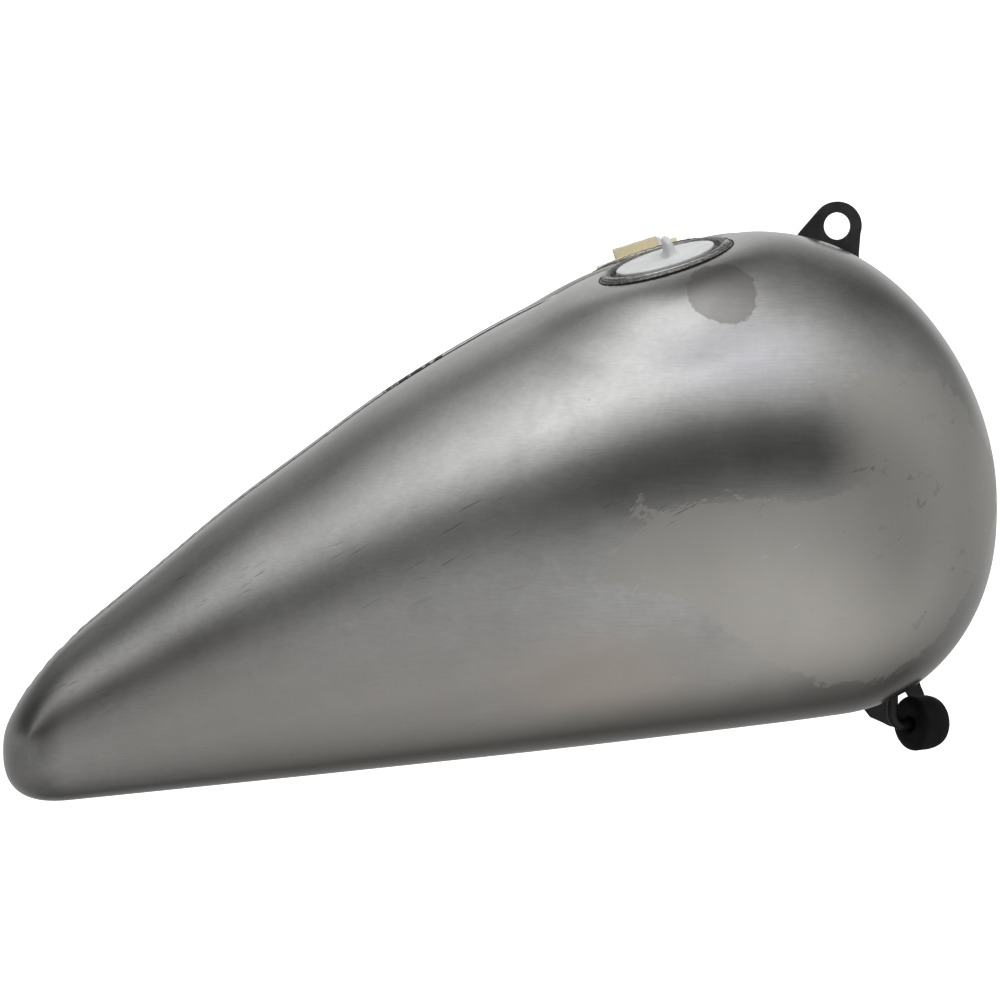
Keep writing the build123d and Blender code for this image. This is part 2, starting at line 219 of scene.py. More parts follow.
def bead(name, points, radius, ripple=0.25, sides=8):
    """A weld bead or rolled seam along points."""
    rings = []
    points = [Vector(p) for p in points]
    for i, p in enumerate(points):
        along = (points[min(i + 1, len(points) - 1)] - points[max(i - 1, 0)]).normalized()
        across = along.cross(Vector((0, 0, 1)) if abs(along.z) < 0.9 else Vector((1, 0, 0))).normalized()
        up = across.cross(along)
        size = radius * (1 + ripple * wobble(p, 0.45) + 0.5 * ripple * sin(i * 2.1))
        if i in (0, len(points) - 1):
            size *= 0.3
        rings.append([p + (across * cos(2 * pi * k / sides) + up * sin(2 * pi * k / sides)) * size
                      for k in range(sides)])
    return joined(name, loops(Matrix.Identity(4), rings))


def neck_frame(side):
    """Matrix of a filler neck: its seat's centre, with local Z along the neck."""
    axis = Vector((-sin(NECK_REARWARD) * cos(NECK_OUTWARD), side * sin(NECK_OUTWARD),
                   cos(NECK_REARWARD) * cos(NECK_OUTWARD)))
    along = Vector((cos(NECK_REARWARD), 0, sin(NECK_REARWARD)))
    across = axis.cross(along)
    origin = Vector((NECK_X, side * NECK_Y, section(NECK_X)[0] - NECK_SINK))
    turn = Matrix((along, across, axis)).transposed().to_4x4()
    return Matrix.Translation(origin) @ turn


# ---- outer skins --------------------------------------------------------------------------
ROWS_TAIL, ROWS_MIDDLE, ROWS_NOSE, COLUMNS = 34, 120, 70, 110
EDGE_COLUMNS, UPPER_COLUMNS = 5, 48
LAST_TURN, NOSE_INSIDE = 89.6, 0.025
DRESSED_R, DRESSED_HEIGHT = 88, 45


def row_places():
    """Stations from tail to nose, closer together where the ends round over."""
    tail = [TAIL_START - (TAIL_START - TAIL_X) * sin(radians(LAST_TURN * (1 - i / ROWS_TAIL)))
            for i in range(ROWS_TAIL)]
    middle = [TAIL_START + (CREST_X - TAIL_START) * i / ROWS_MIDDLE for i in range(ROWS_MIDDLE)]
    nose = [CREST_X + (NOSE_X - CREST_X) * sin(radians(LAST_TURN * i / ROWS_NOSE))
            for i in range(ROWS_NOSE + 1)]
    return tail + middle + nose


def outline(x):
    """Points round one lobe at x, from the channel's edge over the crest and under the bottom."""
    top, bottom, half = section(x)
    crest = HALF_GAP + CREST_SHARE * (half - HALF_GAP)
    flat = HALF_GAP + FLAT_SHARE * (half - HALF_GAP)
    dip = EDGE_DIP * min(1.0, (top - bottom) / 50)
    widest = bottom + WIDEST_SHARE * (top - bottom)
    points = []
    for i in range(EDGE_COLUMNS):
        t = i / EDGE_COLUMNS
        points.append((HALF_GAP + (crest - HALF_GAP) * t, top - dip * (1 - t) ** 2))
    for i in range(UPPER_COLUMNS):
        turn = pi / 2 * (1 - i / UPPER_COLUMNS)
        out = crest + (half - crest) * max(cos(turn), 0) ** (2 / UPPER_POWER)
        points.append((out, widest + (top - widest) * sin(turn) ** (2 / UPPER_POWER)))
    lower = COLUMNS - UPPER_COLUMNS - 2 * EDGE_COLUMNS
    for i in range(lower + 1):
        turn = pi / 2 * i / lower
        out = flat + (half - flat) * max(cos(turn), 0) ** (2 / LOWER_POWER)
        points.append((out, widest - (widest - bottom) * max(sin(turn), 0) ** (2 / LOWER_POWER)))
    for i in range(1, EDGE_COLUMNS):
        points.append((flat + (HALF_GAP - flat) * i / (EDGE_COLUMNS - 1), bottom))
    return points


def evenly(points, count):
    """The same outline as count points at equal steps along it."""
    lengths = [0.0]
    for a, b in zip(points, points[1:]):
        lengths.append(lengths[-1] + sqrt((b[0] - a[0]) ** 2 + (b[1] - a[1]) ** 2))
    result = []
    i = 0
    for k in range(count):
        goal = lengths[-1] * k / (count - 1)
        while i < len(points) - 2 and lengths[i + 1] < goal:
            i += 1
        step = lengths[i + 1] - lengths[i]
        t = (goal - lengths[i]) / step if step else 0.0
        result.append((points[i][0] + (points[i + 1][0] - points[i][0]) * t,
                       points[i][1] + (points[i + 1][1] - points[i][1]) * t))
    return result


def flattened(point, to_neck, from_neck):
    """The skin dressed flat round the filler collar."""
    local = to_neck @ point
    reach = sqrt(local.x ** 2 + local.y ** 2)
    if reach > DRESSED_R or abs(local.z) > DRESSED_HEIGHT:
        return point
    near = (1 - ramp(reach, 30, DRESSED_R)) * ramp(point.y, HALF_GAP + 0.5, HALF_GAP + 8)
    local.z += (-0.1 - local.z) * near
    return from_neck @ local


def outer_skin(name, side):
    """Pressed shell of one lobe, cut away under the collar and inside the bung."""
    from_neck = neck_frame(1)
    to_neck = from_neck.inverted()
    rows = []
    for x in row_places():
        row = [Vector((min(x, NOSE_X - NOSE_INSIDE), y, z)) for y, z in evenly(outline(x), COLUMNS)]
        rows.append([flattened(p, to_neck, from_neck) for p in row])
    count = len(rows)
    outer, inner, cut = [], [], set()
    for i, row in enumerate(rows):
        for j, p in enumerate(row):
            along = rows[min(i + 1, count - 1)][j] - rows[max(i - 1, 0)][j]
            round_ = row[min(j + 1, COLUMNS - 1)] - row[max(j - 1, 0)]
            normal = along.cross(round_)
            if normal.length < 1e-9:
                normal = Vector((1 if i > count / 2 else -1, 0, 0))
            normal.normalize()
            if normal.dot(p - Vector((p.x, HALF_GAP, (row[0].z + row[-1].z) / 2))) < 0:
                normal = -normal
            local = to_neck @ p
            in_neck = sqrt(local.x ** 2 + local.y ** 2) < NECK_HOLE_R and p.z > -80
            from_bung = sqrt((p.x - BUNG[0]) ** 2 + (p.y - BUNG[1]) ** 2)
            in_bung = side > 0 and from_bung < BUNG_HOLE_R and p.z < -250
            if in_neck or in_bung:
                cut.add(len(outer))
            outer.append(p)
            inner.append(p - normal * SHEET)
    total = len(outer)
    faces = []
    for i in range(count - 1):
        for j in range(COLUMNS - 1):
            a = i * COLUMNS + j
            quad = (a, a + 1, a + COLUMNS + 1, a + COLUMNS)
            if not cut.intersection(quad):
                faces.append(tuple(reversed(quad)))
                faces.append(tuple(total + k for k in quad))
    for j in (0, COLUMNS - 1):
        for i in range(count - 1):
            a, b = i * COLUMNS + j, (i + 1) * COLUMNS + j
            faces.append((a, b, total + b, total + a) if j else (b, a, total + a, total + b))
    for i in (0, count - 1):
        end = list(range(i * COLUMNS, (i + 1) * COLUMNS))
        a, b = end[0], end[-1]
        caps = [tuple(end), tuple(total + k for k in reversed(end)), (a, b, total + b, total + a)]
        faces += [tuple(reversed(face)) for face in caps] if i else caps
    if side < 0:
        faces = [tuple(reversed(face)) for face in faces]
    return mesh_object(name, [world(p, side) for p in outer + inner], faces)


def build_skins():
    for name, side in SIDES.items():
        skin = outer_skin(f"{name}_pressed_skin", side)
        finish_piece(skin, "bare_steel", "tank", f"{name}_outer_skin")


# ---- collars, plugs, tape and cap ----------------------------------------------------------
def neck_circle(side, radius, height):
    """Points every three degrees round a filler neck, back to the first."""
    return [neck_frame(side) @ Vector((radius * cos(radians(3 * k)), radius * sin(radians(3 * k)), height))
            for k in range(121)]


def build_collars():
    """Lipped collar and its weld on each lobe, with a dark ring at the collar's foot that is painted shade."""
    profile = rounded([(27, -26), (29, -26), (29, -1.6), (34.4, -1.6), (34.4, -15), (36, -15), (36, -1.4),
                       (39.6, -2.2), (39.2, -0.2), (37.6, 0.1), (36.9, 1.9), (34.0, 2.2), (32.4, 1.9),
                       (31.8, -1.3), (29.4, -1.3), (29.3, 0.6), (27, 0.6)], 0.6)

    def gritty(p, r, z):
        if r < 32 or z < -1.0:
            return p
        lump = 0.25 * wobble(p, 0.35, 3.0) + 0.22 * wobble(p, 1.1, 7.0) + 0.2 * wobble(p, 2.6, 1.0)
        return p + Vector((p.x / r * 0.4, p.y / r * 0.4, 0.9)) * lump

    for name, side in SIDES.items():
        collar = joined(f"{name}_rough_collar", lathe(neck_frame(side), profile, 360, gritty))
        finish_piece(collar, "cast_collar", "tank", f"{name}_filler_neck")
        weld = bead(f"{name}_collar_weld", neck_circle(side, 35.6, 0.9), 1.75, 0.2, 12)
        finish_piece(weld, "bare_steel", "tank")
        # painted shade: a thin dark ring round the collar's outer foot, where the step down to the skin lies in
        # shade
        foot = bead(f"{name}_collar_foot_painted_shade", neck_circle(side, 39.2, -0.3), 0.55, 0.35)
        finish_piece(foot, "nipple_steel", "tank")


# height above the neck's seat, half length and half thickness of the fin's rings
FIN_RINGS = ((2.9, 15.0, 5.6), (3.3, 14.0, 4.6), (4.0, 13.3, 3.7), (5.0, 12.8, 3.0), (9.0, 12.2, 2.6),
             (11.2, 11.8, 2.4), (12.1, 11.2, 1.9), (12.5, 10.5, 1.1), (12.62, 9.6, 0.3))
FIN_FORWARD = 3.5


def fin(turn):
    """The flared pull fin of a plug, rounded over at its top."""
    rings = []
    for z, half, thick in FIN_RINGS:
        ring = []
        for k in range(48):
            c, s = cos(2 * pi * k / 48), sin(2 * pi * k / 48)
            ring.append((half * abs(c) ** 0.45 * (1 if c > 0 else -1),
                         thick * abs(s) ** 0.7 * (1 if s > 0 else -1), z))
        rings.append(ring)
    return loops(turn, rings)


def build_plugs():
    """Moulded plugs: the left one's fin points forward, the right one's points across."""
    profile = rounded([(0.02, 1.4), (24.85, 1.4), (24.85, -14), (26.0, -14), (26.6, -11), (26.6, 0.6),
                       (28.6, 0.6), (28.6, 2.7), (26.6, 3.0), (20.0, 3.1), (10.0, 3.15),
                       (0.02, 3.15)], 0.9)
    for name, side in SIDES.items():
        turn = neck_frame(side)
        across = Matrix.Translation((FIN_FORWARD, 0, 0)) @ Matrix.Rotation(pi / 2, 4, "Z")
        fin_turn = turn if side > 0 else turn @ across
        plug = joined(f"{name}_plug_moulding", lathe(turn, profile), fin(fin_turn))
        finish_piece(plug, "white_plastic", f"{name}_plug", f"{name}_filler_plug")


def sheet_strip(turn, path, xs, thick, crease):
    """A thin strip: a cross path in Y and Z carried along X, with creases."""
    rows = []
    for x in xs:
        row = []
        for y, z in path:
            p = Vector((x, y, z))
            lift = crease * (wobble(p, 0.22, 5.0) + 0.5 * wobble(p, 0.6, 2.0))
            row.append(p + Vector((0.6 * lift, 0.4 * lift, lift)))
        rows.append(row)
    verts, faces = [], []
    count = len(path)
    for row in rows:
        for j, p in enumerate(row):
            along = row[min(j + 1, count - 1)] - row[max(j - 1, 0)]
            out = Vector((1, 0, 0)).cross(along).normalized() * thick
            verts += [world(turn @ (p + out)), world(turn @ p)]
    for i in range(len(rows) - 1):
        for j in range(count - 1):
            a, b = 2 * (i * count + j), 2 * (i * count + j + 1)
            c, d = 2 * ((i + 1) * count + j + 1), 2 * ((i + 1) * count + j)
            faces += [(a, d, c, b), (a + 1, b + 1, c + 1, d + 1)]
    for i in range(len(rows) - 1):
        for j in (0, count - 1):
            a, d = 2 * (i * count + j), 2 * ((i + 1) * count + j)
            faces.append((a, a + 1, d + 1, d) if j == 0 else (a, d, d + 1, a + 1))
    for i in (0, len(rows) - 1):
        for j in range(count - 1):
            a, b = 2 * (i * count + j), 2 * (i * count + j + 1)
            faces.append((a, b, b + 1, a + 1) if i == 0 else (a, a + 1, b + 1, b))
    return verts, faces


def build_tape():
    """Tape folded over the left plug's fin, its loose end behind and a short end in front."""
    turn = neck_frame(1)
    fold = rounded([(-13, 3.7), (-3.0, 3.9), (-2.6, 12.9), (2.6, 12.9), (3.0, 3.9), (13, 3.7)], 0.8, 4, False)
    path = []
    for a, b in zip(fold, fold[1:]):
        steps = max(1, int((b - a).length / 0.8))
        path += [a + (b - a) * k / steps for k in range(steps)]
    path = [(p.x, p.y) for p in path + [fold[-1]]]
    main = sheet_strip(turn, path, [-18.5 + 28 * k / 36 for k in range(37)], 0.35, 0.3)
    drape = [(-16 + k, 2.6 + 4.4 * sin(pi / 2 * k / 9)) for k in range(10)]
    tail = sheet_strip(turn @ Matrix.Rotation(radians(-4), 4, "Y"), drape,
                       [-31 + 17 * k / 18 for k in range(19)], 0.35, 0.5)
    arch = [(-7 + 14 * k / 12, 2.8 + 6.0 * sin(pi * k / 12)) for k in range(13)]
    end = sheet_strip(turn, arch, [16 + 5 * k / 6 for k in range(7)], 0.35, 0.4)
    tape = joined("tape_strip", main, tail, end)
    finish_piece(tape, "paper_tape", "left_plug", "masking_tape")


def build_cap():
    profile = rounded([(3.5, 0.4), (11.5, 0), (15.9, 1.8), (15.9, 13.5), (14.0, 20.0), (7.5, 23.0),
                       (0.02, 23.2), (0.02, 17), (3.5, 17)], 5.0, 8)
    axis, up = CAP_AXIS, Vector((0, 0, 1))
    turn = Matrix.Translation(CAP_CORNER + axis * CAP_START) @ Matrix(
        (up, axis.cross(up), axis)).transposed().to_4x4()
    cap = joined("rubber_cap", lathe(turn, profile, 96))
    finish_piece(cap, "black_rubber", "drain_cap", "drain_cap")


# ---- seams and welds -------------------------------------------------------------------------
def build_beads():
    """Seams along the lobes' rims and welds round the ears, the brace and the bung."""
    top_xs = [TAIL_X + 6 + (60 - TAIL_X - 6) * k / 260 for k in range(261)]
    low_xs = [TAIL_X + 10 + (80 - TAIL_X - 10) * k / 220 for k in range(221)]
    for name, side in SIDES.items():
        top = [(x, side * 29.2, section(x)[0] - 1.5) for x in top_xs]
        low = [(x, side * 29.2, section(x)[1] + 1.6) for x in low_xs]
        for place, points in (("top", top), ("bottom", low)):
            seam = bead(f"{name}_{place}_seam", points, 1.3, 0.2)
            finish_piece(seam, "bare_steel", "tank")
    for name, side in SIDES.items():
        foot = [(EAR_X - 28 + 39 * k / 60, side * 3.0, channel_floor(EAR_X - 28 + 39 * k / 60) + 0.6)
                for k in range(61)]
        finish_piece(bead(f"{name}_ear_weld", foot, 1.4, 0.35), "bare_steel", "tank")
        brace = [(18 - 0.2, side * 28.0, -261 + 24 * k / 30) for k in range(31)]
        finish_piece(bead(f"{name}_brace_weld", brace, 1.6, 0.35), "bare_steel", "tank")
    floor = section(BUNG[0])[1]
    ring = [(BUNG[0] + BUNG_WELD_R * cos(2 * pi * k / 90), BUNG[1] + BUNG_WELD_R * sin(2 * pi * k / 90))
            for k in range(91)]
    ring = [(x, y, floor + 0.2 + 0.0045 * (y - 40) ** 2 * ramp(y, 50, 60)) for x, y in ring]
    finish_piece(bead("bung_weld", ring, 1.3, 0.35), "bare_steel", "tank")


# ---- materials -----------------------------------------------------------------------------
class Nodes:
    """A small helper to wire a material's nodes."""

    def __init__(self, name):
        self.material = bpy.data.materials.new(name)
        self.material.use_nodes = True
        self.tree = self.material.node_tree
        self.tree.nodes.clear()
        self.output = self.tree.nodes.new("ShaderNodeOutputMaterial")
        self.shader = self.tree.nodes.new("ShaderNodeBsdfPrincipled")
        self.tree.links.new(self.shader.outputs["BSDF"], self.output.inputs["Surface"])
        self.place = self.tree.nodes.new("ShaderNodeTexCoord").outputs["Object"]

    def set(self, socket, value):
        if hasattr(value, "links"):
            self.tree.links.new(value, socket)
        else:
            socket.default_value = value

    def node(self, kind, **inputs):
        node = self.tree.nodes.new(kind)
        for key, value in inputs.items():
            self.set(node.inputs[key], value)
        return node

    def mapped(self, scale=(1, 1, 1), turn=(0, 0, 0), move=(0, 0, 0)):
        node = self.node("ShaderNodeMapping", Vector=self.place)
        node.inputs["Scale"].default_value = scale
        node.inputs["Rotation"].default_value = turn
        node.inputs["Location"].default_value = move
        return node.outputs["Vector"]

    def slanted(self, stretch, turn, move=(0, 0, 0)):
        """Coordinates stretched along a direction turned about Y, for slanting streaks."""
        node = self.node("ShaderNodeMapping", Vector=self.place)
        node.vector_type = "TEXTURE"
        node.inputs["Location"].default_value = move
        node.inputs["Rotation"].default_value = (0, radians(turn), 0)
        node.inputs["Scale"].default_value = (stretch, stretch, 1)
        return node.outputs["Vector"]

    def noise(self, scale, detail=4.0, rough=0.55, vector=None, distortion=0.0):
        node = self.node("ShaderNodeTexNoise", Scale=scale, Detail=detail, Roughness=rough,
                         Distortion=distortion, Vector=vector or self.place)
        return node.outputs["Fac"]

    def math(self, operation, a, b=0.0):
        node = self.tree.nodes.new("ShaderNodeMath")
        node.operation = operation
        self.set(node.inputs[0], a)
        self.set(node.inputs[1], b)
        return node.outputs[0]

    def step(self, value, low, high, to_low=0.0, to_high=1.0):
        node = self.tree.nodes.new("ShaderNodeMapRange")
        node.interpolation_type = "SMOOTHSTEP"
        for key, v in (("Value", value), ("From Min", low), ("From Max", high), ("To Min", to_low),
                       ("To Max", to_high)):
            self.set(node.inputs[key], v)
        return node.outputs["Result"]

    def mix(self, factor, a, b):
        node = self.tree.nodes.new("ShaderNodeMix")
        node.data_type = "RGBA"
        self.set(node.inputs["Factor"], factor)
        self.set(node.inputs["A"], a if hasattr(a, "links") else (*a, 1))
        self.set(node.inputs["B"], b if hasattr(b, "links") else (*b, 1))
        return node.outputs["Result"]

    def bump(self, height, strength, distance, normal=None):
        node = self.node("ShaderNodeBump", Height=height, Strength=strength, Distance=distance)
        if normal is not None:
            self.set(node.inputs["Normal"], normal)
        return node.outputs["Normal"]

    def spot(self, centre, size, ragged=0.25, scale=40.0, turn=0.0, power=2.0):
        """A soft-edged patch about a point on the side of the tank, broken up by noise."""
        node = self.node("ShaderNodeMapping", Vector=self.place)
        node.vector_type = "TEXTURE"
        node.inputs["Location"].default_value = centre
        node.inputs["Rotation"].default_value = (0, turn, 0)
        node.inputs["Scale"].default_value = size
        length = self.tree.nodes.new("ShaderNodeVectorMath")
        length.operation = "LENGTH"
        self.set(length.inputs[0], node.outputs["Vector"])
        wobble = self.math("MULTIPLY", self.math("SUBTRACT", self.noise(scale, 6.0, 0.6), 0.5), ragged)
        return self.math("ADD", length.outputs["Value"], wobble)

    def patch(self, corners):
        """Distance outside a convex outline, its corners anticlockwise in X and Z in the side view."""
        distance = None
        for (x0, z0), (x1, z1) in zip(corners, corners[1:] + corners[:1]):
            length = sqrt((x1 - x0) ** 2 + (z1 - z0) ** 2)
            out_x, out_z = (z1 - z0) / length, (x0 - x1) / length
            dot = self.tree.nodes.new("ShaderNodeVectorMath")
            dot.operation = "DOT_PRODUCT"
            self.set(dot.inputs[0], self.place)
            dot.inputs[1].default_value = (out_x, 0, out_z)
            side = self.math("SUBTRACT", dot.outputs["Value"], out_x * x0 + out_z * z0)
            distance = side if distance is None else self.math("MAXIMUM", distance, side)
        return distance


def finish_metal(n, colour, roughness, normal=None):
    n.set(n.shader.inputs["Base Color"], colour)
    n.set(n.shader.inputs["Roughness"], roughness)
    n.shader.inputs["Metallic"].default_value = 1.0
    if normal is not None:
        n.set(n.shader.inputs["Normal"], normal)
    return n.material


# outlines of the dried film, X and Z of corners in metres, anticlockwise in the right side view
FILM_REAR = [(-0.1500, -0.192), (-0.1280, -0.196), (-0.1008, -0.202), (-0.0500, -0.205), (-0.0500, -0.148),
             (-0.0939, -0.150), (-0.1178, -0.1556), (-0.1383, -0.1734)]
FILM_FRONT = [(-0.1030, -0.199), (-0.0599, -0.2331), (-0.0222, -0.2508), (0.0074, -0.2508), (0.0388, -0.2297),
              (0.0533, -0.2093), (0.0826, -0.1619), (0.0840, -0.120), (-0.0249, -0.1437), (-0.0939, -0.150)]
FILM_TOP = [(-0.0500, -0.165), (0.0830, -0.165), (0.0800, -0.1301), (0.0533, -0.0985), (0.0330, -0.0755),
            (0.0100, -0.0795), (-0.0500, -0.0797)]
# outline of the painted shade along the left lobe's inner edge, where it falls into the shade of the channel
# between the lobes
PAINTED_EDGE_SHADE = [(-0.2735, -0.1091), (-0.2330, -0.0832), (-0.2330, -0.0750), (-0.2735, -0.1010)]
# centre and size of the clusters of scratches
SCRATCHES = [((-0.212, -0.14, -0.164), (0.040, 0.2, 0.022)), ((-0.262, -0.13, -0.185), (0.050, 0.2, 0.03)),
             ((-0.440, -0.09, -0.266), (0.035, 0.2, 0.014)), ((-0.355, -0.10, -0.198), (0.040, 0.2, 0.022)),
             ((-0.135, -0.15, -0.150), (0.05, 0.2, 0.018))]


def bare_steel():
    """Brushed, oily sheet steel with a flaky dried film, a stain and scratches, and a near-black painted shade on
    the left lobe's inner edge.
    """
    n = Nodes("bare_steel")
    grain = n.noise(1500, 3.0, 0.6, n.mapped(scale=(0.03, 0.3, 1.0), turn=(0, radians(-14), 0)))
    cloud = n.noise(9, 5.0, 0.55, distortion=0.4)
    mottle = n.noise(38, 6.0, 0.6, distortion=0.6)
    fine = n.noise(240, 5.0, 0.65)
    tone = 0.5
    for pattern, share in ((cloud, 0.60), (grain, 0.80), (mottle, 1.00), (fine, 0.60)):
        tone = n.math("ADD", n.math("MULTIPLY", n.math("SUBTRACT", pattern, 0.5), share), tone)
    tone = n.math("MINIMUM", n.math("MAXIMUM", tone, 0.0), 1.0)
    colour = n.mix(tone, (0.42, 0.418, 0.41), (0.60, 0.598, 0.59))
    low = n.spot((-0.14, -0.12, -0.29), (0.40, 0.4, 0.10), ragged=0.5, scale=12)
    colour = n.mix(n.step(low, 0.4, 1.0, 0.7, 0.0), colour, (0.485, 0.462, 0.432))
    pink = n.spot((-0.15, -0.15, -0.246), (0.055, 0.1, 0.030), ragged=0.9, scale=30)
    pink = n.step(pink, 0.5, 1.0, 1.0, 0.0)
    colour = n.mix(n.math("MULTIPLY", pink, 0.35), colour, (0.60, 0.50, 0.44))
    blue = n.spot((-0.075, -0.15, -0.072), (0.055, 0.1, 0.030), ragged=0.7, scale=30)
    blue = n.step(blue, 0.4, 1.0, 1.0, 0.0)
    colour = n.mix(n.math("MULTIPLY", blue, 0.35), colour, (0.47, 0.475, 0.53))
    rough = n.step(cloud, 0.3, 0.7, 0.19, 0.25)

    # the dried, flaky film over the front of the lobe
    flakes = n.noise(120, 9.0, 0.68, n.slanted(2.4, -26), 0.7)
    edge = n.math("MULTIPLY", n.math("SUBTRACT", flakes, 0.5), 0.022)
    lower = n.math("MINIMUM", n.patch(FILM_REAR), n.patch(FILM_FRONT))
    lower = n.step(n.math("ADD", lower, edge), -0.0004, 0.0008, 1.0, 0.0)
    upper = n.step(n.math("ADD", n.patch(FILM_TOP), edge), -0.0006, 0.0012, 1.0, 0.0)
    split = n.node("ShaderNodeSeparateXYZ", Vector=n.place)
    upper = n.math("MULTIPLY", upper, n.step(split.outputs["X"], -0.030, 0.004))
    holes = n.step(n.noise(110, 7.0, 0.7, n.slanted(2.6, -26, (0.31, 0, 0.17)), 0.9), 0.36, 0.39)
    film = n.math("MULTIPLY", n.math("MAXIMUM", lower, upper), holes)
    thin = n.spot((-0.075, -0.15, -0.162), (0.075, 0.22, 0.022), ragged=1.6, scale=70)
    thin = n.step(thin, 0.7, 0.9, 1.0, 0.0)
    film = n.math("MAXIMUM", film, n.math("MULTIPLY", thin, n.step(flakes, 0.50, 0.54)))
    colour = n.mix(n.math("MULTIPLY", film, 0.80), colour, (0.60, 0.578, 0.54))
    rough = n.math("ADD", rough, n.math("MULTIPLY", film, 0.14))

    # the oily stain behind the crest
    stain = n.spot((-0.080, -0.125, -0.0385), (0.0205, 0.14, 0.0165), ragged=0.75, scale=30, turn=radians(20))
    stain = n.math("ADD", stain, n.math("MULTIPLY", n.math("SUBTRACT", n.noise(160, 5.0, 0.7), 0.5), 0.35))
    inside = n.step(stain, 0.93, 1.0, 1.0, 0.0)
    rim = n.math("MULTIPLY", inside, n.step(stain, 0.85, 0.98))
    colour = n.mix(n.math("MULTIPLY", inside, 0.48), colour, (0.18, 0.168, 0.15))
    colour = n.mix(n.math("MULTIPLY", rim, 0.10), colour, (0.16, 0.15, 0.14))
    rough = n.math("ADD", rough, n.math("MULTIPLY", inside, 0.08))

    # scratches: clusters on the side, and sparse fine ones everywhere
    lines = n.noise(1150, 1.0, 0.5, n.slanted(20, -31))
    clusters = n.spot(*SCRATCHES[0], 0.9, 60)
    for centre, size in SCRATCHES[1:]:
        clusters = n.math("MINIMUM", clusters, n.spot(centre, size, 0.9, 60))
    strong = n.math("MULTIPLY", n.step(lines, 0.66, 0.74), n.step(clusters, 0.6, 1.0, 1.0, 0.0))
    fine_lines = n.noise(1300, 1.0, 0.5, n.slanted(24, -16, (0.1, 0.2, 0.3)))
    sparse = n.math("MULTIPLY", n.step(fine_lines, 0.72, 0.80), n.step(n.noise(18, 3.0), 0.50, 0.60))
    scratch = n.math("MAXIMUM", strong, n.math("MULTIPLY", sparse, 0.6))
    specks = n.step(n.noise(330, 2.0, 0.5, n.mapped(move=(5.0, 1.0, 2.0))), 0.765, 0.80)
    colour = n.mix(n.math("MULTIPLY", scratch, 0.50), colour, (0.14, 0.138, 0.135))
    colour = n.mix(n.math("MULTIPLY", specks, 0.45), colour, (0.14, 0.135, 0.13))
    # painted shade: a near-black patch on the left lobe's inner edge, broken up by noise, where the edge falls
    # into the shade of the channel between the lobes
    painted_edge_shade = n.step(n.math("ADD", n.patch(PAINTED_EDGE_SHADE), n.math("MULTIPLY", edge, 0.2)), -0.0005, 0.0005, 1.0, 0.0)
    painted_edge_shade = n.math("MULTIPLY", painted_edge_shade, n.step(n.noise(75, 3.0, 0.6, n.mapped(move=(1.0, 4.0, 2.0))), 0.44, 0.50))
    painted_edge_shade = n.math("MULTIPLY", painted_edge_shade, n.step(split.outputs["Y"], 0.020, 0.024))
    painted_edge_shade = n.math("MULTIPLY", painted_edge_shade, n.step(split.outputs["Y"], 0.032, 0.038, 1.0, 0.0))
    colour = n.mix(n.math("MULTIPLY", painted_edge_shade, 0.88), colour, (0.03, 0.028, 0.026))
    height = n.math("ADD", n.math("MULTIPLY", grain, 0.5), n.math("MULTIPLY", scratch, -0.8))
    height = n.math("ADD", height, n.math("MULTIPLY", film, 0.35))
    normal = n.bump(height, 0.18, 0.0001)
    return finish_metal(n, colour, rough, normal)


def cast_collar():
    n = Nodes("cast_collar")
    grit = n.noise(420, 8.0, 0.75)
    lump = n.noise(120, 5.0, 0.6)
    colour = n.mix(n.step(grit, 0.35, 0.65), (0.22, 0.215, 0.205), (0.56, 0.55, 0.53))
    height = n.math("ADD", grit, lump)
    return finish_metal(n, colour, n.step(lump, 0.3, 0.7, 0.4, 0.6), n.bump(height, 0.8, 0.0004))


def dark_phosphate():
    n = Nodes("dark_phosphate")
    cloud = n.noise(60, 6.0, 0.6)
    colour = n.mix(n.step(cloud, 0.35, 0.7), (0.022, 0.022, 0.024), (0.05, 0.05, 0.052))
    n.set(n.shader.inputs["Base Color"], colour)
    n.set(n.shader.inputs["Roughness"], n.step(cloud, 0.3, 0.7, 0.42, 0.6))
    n.shader.inputs["Metallic"].default_value = 0.3
    n.set(n.shader.inputs["Normal"], n.bump(n.noise(700, 4.0, 0.6), 0.35, 0.0002))
    return n.material


def nipple_steel():
    n = Nodes("nipple_steel")
    cloud = n.noise(120, 6.0, 0.6)
    colour = n.mix(cloud, (0.02, 0.02, 0.021), (0.07, 0.07, 0.07))
    return finish_metal(n, colour, n.step(cloud, 0.3, 0.7, 0.35, 0.5), n.bump(cloud, 0.3, 0.0002))


def white_plastic():
    n = Nodes("white_plastic")
    cloud = n.noise(90, 5.0, 0.6)
    colour = n.mix(n.step(cloud, 0.3, 0.75), (0.60, 0.615, 0.62), (0.70, 0.71, 0.715))
    n.set(n.shader.inputs["Base Color"], colour)
    n.set(n.shader.inputs["Roughness"], n.step(cloud, 0.3, 0.7, 0.42, 0.52))
    n.shader.inputs["Subsurface Weight"].default_value = 0.15
    n.shader.inputs["Subsurface Radius"].default_value = (0.002, 0.002, 0.002)
    n.set(n.shader.inputs["Normal"], n.bump(n.noise(800, 3.0, 0.6), 0.15, 0.0001))
    return n.material


def black_rubber():
    n = Nodes("black_rubber")
    cloud = n.noise(150, 5.0, 0.6)
    colour = n.mix(cloud, (0.0015, 0.0015, 0.0015), (0.005, 0.005, 0.0045))
    n.shader.inputs["Specular IOR Level"].default_value = 0.25
    n.set(n.shader.inputs["Base Color"], colour)
    n.set(n.shader.inputs["Roughness"], n.step(cloud, 0.3, 0.7, 0.5, 0.65))
    n.set(n.shader.inputs["Normal"], n.bump(n.noise(900, 3.0, 0.6), 0.2, 0.0001))
    return n.material


